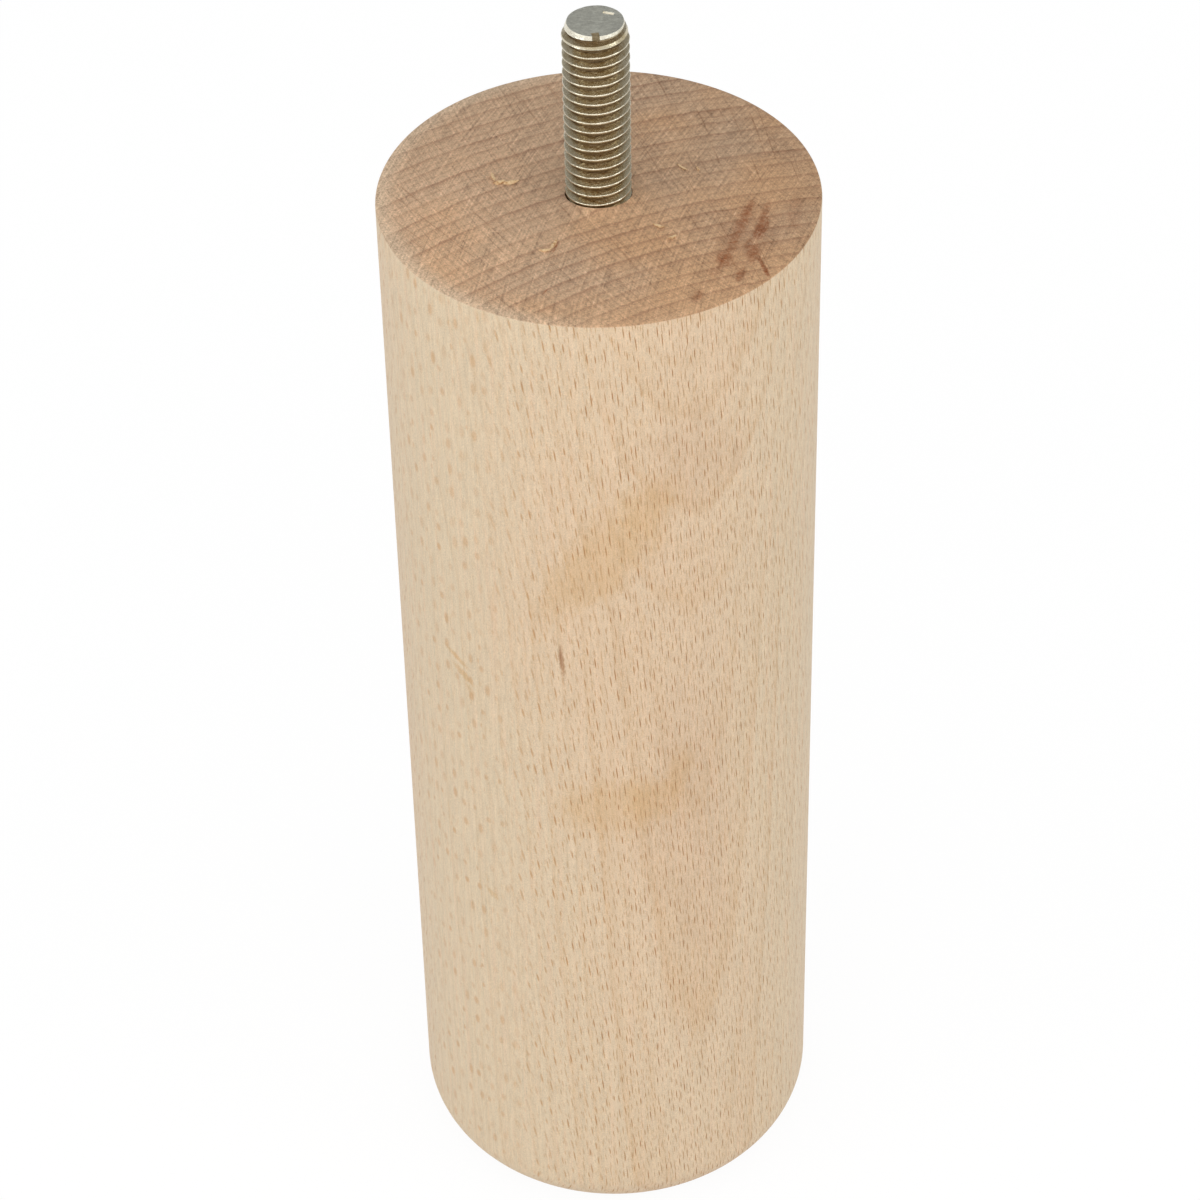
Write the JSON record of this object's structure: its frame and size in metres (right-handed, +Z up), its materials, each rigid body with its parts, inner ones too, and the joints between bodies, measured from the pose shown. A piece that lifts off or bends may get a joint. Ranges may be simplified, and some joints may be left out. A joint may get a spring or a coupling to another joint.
{
  "type": "wooden furniture foot",
  "caption": "Round turned beech furniture foot with a rounded floor end, a square sawn top face and a threaded steel stud that screws into the furniture above it.",
  "frame": {"origin": "middle of the flat face that stands on the floor", "axes": "+Z up along the leg and its stud; the leg is round, so +X and +Y are any two directions square to it"},
  "size_m": [0.052, 0.052, 0.1735],
  "materials": {
    "beech": "sanded bare beech, sawn end grain on the top face",
    "plated_steel": "bright nickel plating on a rolled thread"
  },
  "bodies": {
    "root": {"leg_body": "beech", "hanger_bolt": "plated_steel"}
  },
  "joints": []
}
